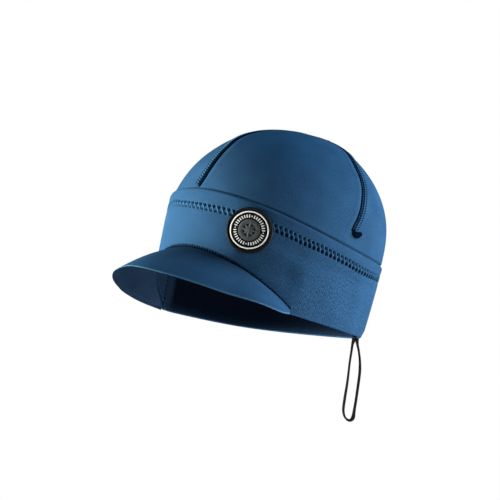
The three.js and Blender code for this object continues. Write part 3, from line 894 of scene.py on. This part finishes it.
# Shape of the visor
def make_visor_grid():
    """Columns of the visor's section, each out along the top and back underneath."""
    edge_points = np.stack([VISOR_EDGE["out"], -VISOR_EDGE["forward"], VISOR_EDGE["up"]], axis=1)
    count, rim_rows = VISOR_GRID["columns"], VISOR_GRID["rim"] - 2
    tips = evenly(curve_through(edge_points), count)
    across = np.linspace(-1, 1, count)
    angle = across * VISOR_END
    seam = visor_arch(angle) - VISOR_SEAM_DROP
    roots = cuff_point(angle, seam, 0)
    crowning = VISOR_CROWNING * np.cos(across * math.pi / 2)
    reach = np.maximum(np.linalg.norm(tips - roots, axis=1), VISOR_RIM["shortest"])

    def top_at(share):
        point = mix(roots[:, None], tips[:, None], share[..., None])
        point[..., 2] += crowning[:, None] * np.sin(share * math.pi)
        return point

    def thickness_at(share):
        thin = VISOR_END_THINNING["share"] * share * np.abs(across)[:, None] ** VISOR_END_THINNING["power"]
        bevel = smooth(0, VISOR_BEVEL["width"], (1 - share) * reach[:, None])
        return VISOR_THICKNESS * (1 - thin) * mix(VISOR_BEVEL["edge"], 1, bevel)

    rim = np.minimum(VISOR_RIM["reach"], VISOR_RIM["most"] * reach)
    last = (1 - rim / reach)[:, None]
    band = (1 - np.minimum(VISOR_HIGHLIGHT_BAND["width"], VISOR_HIGHLIGHT_BAND["most"] * reach) / reach)[:, None]
    top = top_at(np.concatenate([band * np.linspace(0, 1, VISOR_GRID["top"] - 1), last], axis=1))
    half_thick = thickness_at(last)[..., None] / 2
    turn = np.linspace(math.pi / 2, -math.pi / 2, VISOR_GRID["rim"])[1:-1, None]
    edge = (top[:, -1:] - UP * half_thick + (unit(tips - roots) * rim[:, None])[:, None] * np.cos(turn)
            + UP * half_thick * np.sin(turn))
    share_back = last * np.linspace(1, 0, VISOR_GRID["under"])
    under = top_at(share_back)
    under[..., 2] -= thickness_at(share_back)
    inside = cuff_point(angle, seam, CLOTH)[:, None]
    grid = np.concatenate([top, edge, under, inside - UP * VISOR_THICKNESS, inside], axis=1)
    # The strip before the rim and the rim's upper half take the painted highlight, the rim's lower half the
    # dark inside colour as a painted shadow line, and the underside the painted shade colour
    materials = [0] * (VISOR_GRID["top"] - 2) + [2] * (rim_rows // 2 + 2) + [3] * (rim_rows // 2)
    materials = materials + [1] * (grid.shape[1] - len(materials))
    along = path_length(grid[count // 2])
    return grid, grid_uvs(path_length(tips), np.append(along, along[-1])), materials


# Badge
def badge_point(x, y, height):
    """A point of the badge's flat drawing, laid on the cuff."""
    turn_rate = math.hypot(CUFF_HALF_WIDTH * math.cos(BADGE_ANGLE), CUFF_HALF_LENGTH * math.sin(BADGE_ANGLE))
    return cuff_point(BADGE_ANGLE + x / turn_rate, BADGE_HEIGHT + y, -height - GAP)


def add_plate(name, kind, slot, replaced, profile, turns=BADGE_TURNS, radius_at=np.ones_like, flat=False):
    """A plate on the badge from a closed profile of radius and height."""
    turn = np.linspace(0, FULL_TURN, turns, endpoint=False)[:, None]
    radius, height = np.array(profile).T
    radius = radius * radius_at(turn)
    points = badge_point(radius * np.cos(turn), radius * np.sin(turn), height).reshape(-1, 3)
    faces, _, _ = grid_faces(turns, len(profile), turns)
    finish_piece(mesh_from(name, points, faces, [kind], flat=flat), slot, *replaced)


def ring_profile(radii, base, top, bevel, drop):
    """Section of a raised ring whose upper edges are cut off by a bevel."""
    inner, outer = radii
    return [(inner, base), (outer, base), (outer, top - drop), (outer - bevel, top), (inner + bevel, top),
            (inner, top - drop)]


def star_radius(turn):
    spacing = FULL_TURN / STAR["points"]
    nearest = np.round(turn / spacing)
    tip = np.where(nearest % 2 == 0, STAR["long_tip"], STAR["short_tip"])
    from_tip = np.abs(turn - nearest * spacing)
    edge = tip * np.sin(from_tip) + STAR["valley"] * np.sin(spacing / 2 - from_tip)
    return tip * STAR["valley"] * math.sin(spacing / 2) / edge


# Panel settings
COLOUR = {"subtype": "COLOR", "size": 3, "min": 0, "max": 1}


class BeanieClothSettings(bpy.types.PropertyGroup):
    """Colours and stitch sizes of the cloth."""

    cloth_colour: bpy.props.FloatVectorProperty(
        name="Cloth colour", description="Outer face of cloth", default=(0.0026, 0.0087, 0.021), **COLOUR)
    # Painted shade: the visor's underside is the same cloth as the top, darker to stand for the shade under
    # the visor
    underside_shade_colour: bpy.props.FloatVectorProperty(
        name="Lining colour", description="Under the visor", default=(0.0015, 0.0035, 0.0082), **COLOUR)
    # Dark inner cloth, darkened further as painted shade inside the hat; it also paints the shadow line
    # under the visor's rim
    dark_cloth_and_shade_colour: bpy.props.FloatVectorProperty(
        name="Inner colour", description="Inside of the cuff and the crown",
        default=(0.0004, 0.0009, 0.0024), **COLOUR)
    # Painted light: the lighter colour of the cuff's inner face beside the visor and towards the hem
    painted_light_colour: bpy.props.FloatVectorProperty(
        name="Facing colour", description="Inside of the cuff beside the visor",
        default=(0.0045, 0.0115, 0.027), **COLOUR)
    # Painted highlight: the lighter colour along the visor's rim and the strip beside it
    rim_highlight_colour: bpy.props.FloatVectorProperty(
        name="Edge colour", description="The visor's bound edge", default=(0.0068, 0.0172, 0.032), **COLOUR)
    # Dark threads, partly real thread and partly painted shade in the slots and grooves they lie in
    dark_thread_and_shade_colour: bpy.props.FloatVectorProperty(
        name="Dark thread colour", description="Threads in the slots and seams",
        default=(0.0002, 0.0006, 0.002), **COLOUR)
    light_thread_colour: bpy.props.FloatVectorProperty(
        name="Light thread colour", description="Threads that cross the cuff's and the darts' stitches",
        default=(0.0045, 0.0165, 0.036), **COLOUR)
    seam_thread_colour: bpy.props.FloatVectorProperty(
        name="Seam thread colour", description="Threads that cross the crown seam's stitches",
        default=(0.006, 0.023, 0.048), **COLOUR)
    slot_depth: bpy.props.FloatProperty(
        name="Stitch depth", description="How deep the cuff's stitches pull in", unit="LENGTH",
        min=0, max=0.002, default=0.0011)


class BeanieBadgeSettings(bpy.types.PropertyGroup):
    """Colours of the badge and how many ticks ring it."""

    rubber_colour: bpy.props.FloatVectorProperty(
        name="Rubber colour", description="The badge's disc", default=(0.0008, 0.001, 0.0013), **COLOUR)
    print_colour: bpy.props.FloatVectorProperty(
        name="Border colour", description="Border and ticks", default=(0.098, 0.105, 0.119), **COLOUR)
    mark_colour: bpy.props.FloatVectorProperty(
        name="Star colour", description="Star and medallion", default=(0.0078, 0.0092, 0.0113), **COLOUR)
    tick_count: bpy.props.IntProperty(
        name="Ticks", description="How many ticks stand inside the border", min=4, max=90, default=36)


class BeanieLoopSettings(bpy.types.PropertyGroup):
    """Size and colour of the tape loop."""

    tape_colour: bpy.props.FloatVectorProperty(
        name="Tape colour", description="The woven tape", default=(0.0012, 0.0012, 0.0014), **COLOUR)
    tape_width: bpy.props.FloatProperty(
        name="Tape width", description="Width of the tape", unit="LENGTH",
        min=0.001, max=0.005, default=0.0036)
    tape_thickness: bpy.props.FloatProperty(
        name="Tape thickness", description="Thickness of the tape", unit="LENGTH",
        min=0.0004, max=0.002, default=0.0014)


class BeanieStageSettings(bpy.types.PropertyGroup):
    """Camera lens and the power of the lights."""

    lens: bpy.props.FloatProperty(
        name="Lens", description="Focal length on a 36 mm sensor", subtype="DISTANCE_CAMERA",
        min=20, max=300, default=109.21)
    key_power: bpy.props.FloatProperty(
        name="Left light", description="Power of the light on the visor's side", unit="POWER",
        min=0, max=900, default=395)
    fill_power: bpy.props.FloatProperty(
        name="Right light", description="Power of the light on the back's side", unit="POWER",
        min=0, max=900, default=250)
    top_power: bpy.props.FloatProperty(
        name="Top light", description="Power of the light high at the back", unit="POWER",
        min=0, max=900, default=80)


# Operators
class BEANIE_OT_stage(bpy.types.Operator):
    """Sets the camera, the lights, the white surroundings and the pale floor"""

    bl_idname = "beanie.stage"
    bl_label = "Add stage"

    def execute(self, context):
        settings = context.scene.beanie_stage
        self.add_camera(context.scene, settings.lens)
        for name, row in LIGHTS.items():
            self.add_light(name, row, getattr(settings, row["power"]))
        world = bpy.data.worlds.new("white_surround")
        world.use_nodes = True
        world.node_tree.nodes["Background"].inputs["Color"].default_value = (1, 1, 1, 1)
        world.node_tree.nodes["Background"].inputs["Strength"].default_value = 1
        context.scene.world = world
        context.scene.view_settings.view_transform = "Standard"
        turn = np.linspace(0, FULL_TURN, FLOOR["points"], endpoint=False)
        edge = np.stack([FLOOR["radius"] * np.cos(turn), FLOOR["radius"] * np.sin(turn),
                         np.full_like(turn, FLOOR["height"])], axis=1)
        floor = mesh_from("floor", edge / MM, [list(range(FLOOR["points"]))], ["floor"])
        return {"FINISHED"}

    def direction(self, angle, elevation):
        """Unit vector out from the hat at an angle round it and above the level."""
        turn, rise = angle * DEGREE, elevation * DEGREE
        return Vector((math.sin(turn) * math.cos(rise), -math.cos(turn) * math.cos(rise), math.sin(rise)))

    def add_camera(self, scene, focal_length):
        back = self.direction(CAMERA["azimuth"], CAMERA["elevation"])
        azimuth = CAMERA["azimuth"] * DEGREE
        right = Vector((math.cos(azimuth), math.sin(azimuth), 0))
        place = back * CAMERA["distance"]
        aim = right * CAMERA["aim_right"] + back.cross(right) * CAMERA["aim_up"]
        level = (aim - place).to_track_quat("-Z", "Y").to_matrix()
        matrix = (level @ Matrix.Rotation(CAMERA["roll"] * DEGREE, 3, "Z")).to_4x4()
        matrix.translation = place
        lens = bpy.data.cameras.new("photo_camera")
        lens.sensor_width = 36
        lens.lens = focal_length
        camera = new_object("photo_camera", lens)
        camera.matrix_world = matrix
        scene.camera = camera

    def add_light(self, name, row, power):
        light = bpy.data.lights.new(name, "AREA")
        light.shape = "SQUARE"
        light.size = LIGHT_SIZE
        light.energy = power
        light.color = row["colour"]
        towards = self.direction(row["angle"], row["elevation"])
        lamp = new_object(name, light)
        lamp.location = towards * LIGHT_DISTANCE + Vector((0, 0, LIGHT_AIM_HEIGHT))
        lamp.rotation_euler = towards.to_track_quat("Z", "Y").to_euler()


class BEANIE_OT_tape_loop(bpy.types.Operator):
    """Adds the tape loop that hangs from the hem, and its tab"""

    bl_idname = "beanie.tape_loop"
    bl_label = "Add tape loop"

    def execute(self, context):
        settings = context.scene.beanie_loop
        turn = LOOP_PLANE_ANGLE * DEGREE
        across = np.array([math.cos(turn), math.sin(turn), 0])
        facing = np.array([math.sin(turn), -math.cos(turn), 0])
        start = np.array([TAB["x"], TAB["y"], TAB["bottom"]])
        route = start + across * LOOP_ROUTE["across"][:, None] - UP * LOOP_ROUTE["drop"][:, None]
        path = evenly(curve_through(route), TAPE["points"])
        tangents = unit(np.gradient(path, axis=0))
        inwards = unit(np.cross(facing, tangents))
        twist = from_table(LOOP_TWIST, np.linspace(0, 1, TAPE["points"]))[:, None] * DEGREE
        wide = inwards * np.cos(twist) + facing * np.sin(twist)
        thin = np.cross(wide, tangents)
        turn = (np.arange(TAPE["corners"])[:, None] + 0.5) * FULL_TURN / TAPE["corners"]
        x = settings.tape_width / MM / 2 * signed_power(np.cos(turn), TAPE["width_power"])
        y = settings.tape_thickness / MM / 2 * signed_power(np.sin(turn), TAPE["thickness_power"])
        grid = path[:, None] + wide[:, None] * x + thin[:, None] * y
        loop = self.add_tape("tape_loop", grid, "leash_loop")
        self.add_tab(across, facing)
        return {"FINISHED"}

    def add_tape(self, name, grid, replaced):
        columns, length, _ = grid.shape
        uvs = np.zeros((columns + 1, length + 1, 2))
        return add_wall(name, grid, uvs, ["tape"], [0] * length, "tape", replaced)

    def add_tab(self, across, facing):
        shape = TAB_SHAPE
        rise = np.linspace(0, 1, shape["rows"])[:, None]
        turn = np.linspace(0, FULL_TURN, shape["corners"], endpoint=False)[::-1]
        share = np.minimum(1, shape["end"] + shape["swell"] * np.sin(rise * math.pi))
        x = TAB["width"] / 2 * signed_power(np.cos(turn), shape["width_power"]) * share
        y = TAB["thickness"] / 2 * signed_power(np.sin(turn), shape["thickness_power"]) * share
        centre = np.array([TAB["x"], TAB["y"], TAB["bottom"]]) + UP * TAB["height"] * rise[..., None]
        self.add_tape("tape_tab", centre + across * x[..., None] + facing * y[..., None], "loop_tab")


class BEANIE_OT_cuff(bpy.types.Operator):
    """Adds the folded cuff and its rows of stitches"""

    bl_idname = "beanie.cuff"
    bl_label = "Add cuff"

    def execute(self, context):
        depth = context.scene.beanie_cloth.slot_depth / MM
        grid, uvs, rows = make_cuff_grid(depth)
        add_wall("cuff_cloth", grid, uvs, ["cloth", "dark_lining", "inner"], rows, "cloth", "cuff", True)
        self.add_slot_threads(depth)
        self.add_cross_threads()
        self.add_inner_stitches()
        return {"FINISHED"}

    def on_cuff(self, number, height, inset):
        """Points at a height over the stitch row, with their normals."""
        angle, _ = stitch_place(number)
        z = stitch_row_height(angle) + height
        return cuff_point(angle, z, furrow_depth(angle, z) + channel_depth(height) + inset), outward(angle)

    def add_slot_threads(self, depth):
        """The dark threads that lie in the slots, dark both as thread and as painted shade in the slots."""
        lean = SLOT["lean"] * DEGREE
        share = np.linspace(-1, 1, 7)
        sunk = depth * (SLOT_THREAD_DEPTH["middle"] - SLOT_THREAD_DEPTH["less_at_ends"] * np.abs(share) ** 3)
        for name, side, shift in SLOT_ROWS:
            middle = np.arange(STITCHES_ROUND)[:, None] + shift
            size = from_front(SLOT_SIZE[name], stitch_place(middle)[0])
            reach = SLOT["half_length"] * size
            strands = self.on_cuff(middle + reach / STITCH_PITCH * math.sin(lean) * share,
                                   side * SLOT["row_offset"] - reach * math.cos(lean) * share, sunk)
            add_strands(f"cuff_stitches_{name}", *strands, SLOT["thread"] * size[:, 0], "dark_thread")

    def add_cross_threads(self):
        share = np.linspace(-1, 1, 11)
        middle = np.arange(STITCHES_ROUND)[:, None] + CROSS_THREAD["place"]
        turned = smooth(-CROSS_THREAD["sway_end"], CROSS_THREAD["sway_end"], share)
        sway = CROSS_THREAD["sway"] * (turned - 0.5)
        strands = self.on_cuff(middle + sway, -CROSS_THREAD["half_length"] * share,
                               CROSS_THREAD["sunk_ends"] * np.abs(share) ** 4 - CROSS_THREAD["raised"])
        add_strands("cuff_cross_threads", *strands, CROSS_THREAD["radius"], "light_thread")

    def add_inner_stitches(self):
        """A row of dashes up the inner face at each end of the visor."""
        size = INNER_STITCHES
        for name, side in (("left", 1), ("right", -1)):
            angle = side * INNER_SEAM_ANGLE * DEGREE
            middle = np.arange(visor_arch(angle) + size["above_edge"], size["high"], size["pitch"])
            z = middle[:, None] + size["length"] / 2 * np.linspace(-1, 1, 6)
            points = cuff_point(angle, z, CLOTH + furrow_depth(angle, z) + size["sunk"])
            add_strands(f"inner_stitches_{name}", points, -outward(angle), size["radius"], "dark_thread")


class BEANIE_OT_crown(bpy.types.Operator):
    """Adds the two crown halves, their seam and their darts"""

    bl_idname = "beanie.crown"
    bl_label = "Add crown"

    def execute(self, context):
        sides = (("left", 0, 1), ("right", 180, -1))
        for name, start, side in sides:
            grid, uvs, rows = make_crown_grid(start)
            grid[..., 0] += side * GAP / 2
            kinds = ["cloth", "dark_lining"]
            add_wall(f"crown_{name}_cloth", grid, uvs, kinds, rows, "cloth", f"crown_{name}")
        self.add_ladder("crown_seam", seam_line, SEAM_LADDER)
        for name, _, side in sides:
            self.add_ladder(f"dart_{name}", lambda away: dart_line(away, side), DART_LADDER)
            self.add_bar_tack(f"dart_end_{name}", side)
        return {"FINISHED"}

    def add_ladder(self, name, line_at, shape):
        """A sunk thread with two rails of dashes beside it and threads zigzagging between them."""
        points, normals = on_crown(*line_at(1e-6))
        add_strands(f"{name}_thread", (points + LADDER["raised"] * normals)[None], normals[None],
                    shape["thread"], "dark_thread")
        rails = [on_crown(*line_at(away)) for away in shape["rails"]]
        count = int(path_length(rails[0][0])[-1] / LADDER["pitch"])
        steps = np.arange(1, count - 1)[:, None]

        def on_rail(rail, step):
            along = path_length(rails[rail][0])
            at = np.clip(step / count, 0, 1) * along[-1]
            return [points_at(at, along, line) for line in rails[rail]]

        share = np.linspace(-0.5, 0.5, 6) * LADDER["dash"] / LADDER["pitch"]
        for rail, label in enumerate(("near", "far")):
            place, facing = on_rail(rail, steps + 0.5 * rail + share)
            add_strands(f"{name}_{label}_dashes", place - LADDER["dash_sunk"] * facing, facing,
                        shape["dash_radius"], "dark_thread")
        share = np.linspace(0, 1, 7)[:, None]
        near, facing = on_rail(0, steps + 0.5)
        far, _ = on_rail(1, steps + 1)
        arch = LADDER["cross_raised"] + LADDER["cross_arch"] * np.sin(share * math.pi)
        add_strands(f"{name}_cross", mix(near, far, share) + facing * arch, facing, LADDER["cross_radius"],
                    shape["cross"])

    def add_bar_tack(self, name, side):
        """A dense bar of stitches across the dart's end."""
        tack = BAR_TACK
        shift = np.linspace(tack["from"], tack["to"], tack["strands"])[:, None]
        share = np.linspace(-1, 1, 6)
        round_it = np.sqrt(1 - ((shift - tack["middle"]) / tack["half_width"]) ** 2)
        sag = tack["sag"] * (shift - tack["sag_middle"]) ** 2
        z = DART_END - tack["below_end"] + sag + (tack["end_height"] + tack["height"] * round_it) * share
        lean = np.where(np.arange(tack["strands"]) % 2, tack["lean"], -tack["lean"])[:, None]
        turn = (math.pi / 2 + (shift + lean * share) / CROWN_HALF_LENGTH) * side
        facing = crown_normal(turn, z)
        arch = (tack["arch"] * np.cos(share * math.pi / 2))[:, None]
        add_strands(name, crown_point(turn, z, 0) + facing * arch, facing, tack["radius"], "dark_thread")


class BEANIE_OT_visor(bpy.types.Operator):
    """Adds the soft visor and the stitches of its seam"""

    bl_idname = "beanie.visor"
    bl_label = "Add visor"

    def execute(self, context):
        grid, uvs, rows = make_visor_grid()
        kinds = ["cloth", "lining", "edge", "dark_lining"]
        add_wall("visor_cloth", grid, uvs, kinds, rows, "cloth", "visor")
        self.add_seam_bites()
        self.add_seam_line()
        return {"FINISHED"}

    def add_seam_bites(self):
        size = VISOR_STITCHES
        angles = np.linspace(-VISOR_END, VISOR_END, 3001)
        seam = cuff_point(angles, visor_arch(angles), furrow_depth(angles, visor_arch(angles)))
        length = path_length(seam)
        count = int(length[-1] / size["pitch"])
        angle = np.interp((np.arange(count) + 0.5) * length[-1] / count, length, angles)[:, None]
        # Painted shade: bigger bites towards the middle stand for the shade above the seam
        shrink = smooth(size["shrink_from"], size["shrink_to"], np.abs(angle) / DEGREE)
        scale = mix(1, size["end_share"], shrink)
        share = np.linspace(0, 1, 6)
        z = visor_arch(angle) - size["below"] + size["rise"] * scale * share
        inset = size["sunk"] - size["arch"] * np.sin(share * math.pi) + size["root_sunk"] * (1 - share)
        inset = inset + furrow_depth(angle, z)
        add_strands("visor_seam_bites", cuff_point(angle, z, inset), outward(angle), size["radius"] * scale,
                    "dark_thread")

    def add_seam_line(self):
        angle = np.linspace(-1, 1, 500) * VISOR_END * VISOR_THREAD["share"]
        z = visor_arch(angle) - VISOR_THREAD["below"]
        line = cuff_point(angle, z, furrow_depth(angle, z) + VISOR_THREAD["sunk"])
        radius = VISOR_THREAD["radius"]
        add_strands("visor_seam_line", line[None], outward(angle)[None], radius, "dark_thread")


class BEANIE_OT_badge(bpy.types.Operator):
    """Adds the rubber badge with its border, ticks and compass star"""

    bl_idname = "beanie.badge"
    bl_label = "Add badge"

    def execute(self, context):
        face = BADGE_THICKNESS - BADGE_SUNK
        base, top = face - BADGE_RELIEF, face + BADGE_RELIEF
        disc = [(0, 0), (6, 0), (12, 0), *((BADGE_RADIUS + out, height) for out, height in BADGE_RIM),
                 (15.7, face), (13, face), (10, face), (5, face), (0, face)]
        border = ring_profile(BORDER_RADII, base, top, **BORDER_BEVEL)
        medallion = ring_profile(MEDALLION_RADII, base, top, **MEDALLION_BEVEL)
        star = [(0, base), (0.5, base), (1, base), *((share, face + height) for share, height in STAR_SLOPE)]
        add_plate("badge_rubber", "rubber", "badge_rubber", ["badge_disc"], disc)
        add_plate("badge_ring", "print", "badge_white", ["badge_border"], border)
        add_plate("badge_medallion", "mark", "badge_grey", [], medallion)
        add_plate("badge_compass", "mark", "badge_grey", ["badge_star"], star, STAR_TURNS, star_radius,
                  flat=True)
        self.add_ticks(context.scene.beanie_badge.tick_count, base, face + 0.1, top)
        return {"FINISHED"}

    def add_ticks(self, count, base, shoulder, top):
        """Small raised bars round the badge, short ones at the quarter turns, with bevelled tops."""
        points = []
        for k in range(count):
            turn = k * FULL_TURN / count
            long = TICK["long"] if k % (count // 4) else TICK["short"]
            wide = TICK_WIDTHS["base"]
            sections = ((long, wide, base), (long, wide, shoulder),
                        (long - TICK_WIDTHS["bevel"], TICK_WIDTHS["top"], top))
            for half_length, half_width, height in sections:
                for along, across in ((-1, -1), (1, -1), (1, 1), (-1, 1)):
                    out = TICK["radius"] + along * half_length
                    side = across * half_width
                    points.append(badge_point(out * math.cos(turn) - side * math.sin(turn),
                                              out * math.sin(turn) + side * math.cos(turn), height))
        ticks = mesh_from("badge_ticks", points, stack_faces(count, 3, 4), ["print"], flat=True)
        finish_piece(ticks, "badge_white")


class BEANIE_PT_panel(bpy.types.Panel):
    """Lists the beanie's settings and pieces"""

    bl_idname = "BEANIE_PT_panel"
    bl_label = "Visor beanie"
    bl_space_type = "VIEW_3D"
    bl_region_type = "UI"
    bl_category = "Beanie"

    def draw(self, context):
        for group in SETTINGS:
            settings = getattr(context.scene, group)
            box = self.layout.box()
            for name in settings.bl_rna.properties.keys():
                if name not in ("rna_type", "name"):
                    box.prop(settings, name)
        for operator in OPERATORS:
            self.layout.operator(operator.bl_idname)


SETTINGS = {
    "beanie_stage": BeanieStageSettings,
    "beanie_loop": BeanieLoopSettings,
    "beanie_cloth": BeanieClothSettings,
    "beanie_badge": BeanieBadgeSettings,
}
OPERATORS = [BEANIE_OT_stage, BEANIE_OT_tape_loop, BEANIE_OT_cuff, BEANIE_OT_crown, BEANIE_OT_visor,
             BEANIE_OT_badge]


def register():
    for name, group in SETTINGS.items():
        bpy.utils.register_class(group)
        setattr(bpy.types.Scene, name, bpy.props.PointerProperty(type=group))
    for operator in [*OPERATORS, BEANIE_PT_panel]:
        bpy.utils.register_class(operator)


def unregister():
    for operator in [*OPERATORS, BEANIE_PT_panel]:
        bpy.utils.unregister_class(operator)
    for name, group in SETTINGS.items():
        delattr(bpy.types.Scene, name)
        bpy.utils.unregister_class(group)


def main():
    register()
    bpy.ops.beanie.stage()
    bpy.ops.beanie.tape_loop()
    bpy.ops.beanie.cuff()
    bpy.ops.beanie.crown()
    bpy.ops.beanie.visor()
    bpy.ops.beanie.badge()


if __name__ == "__main__":
    main()
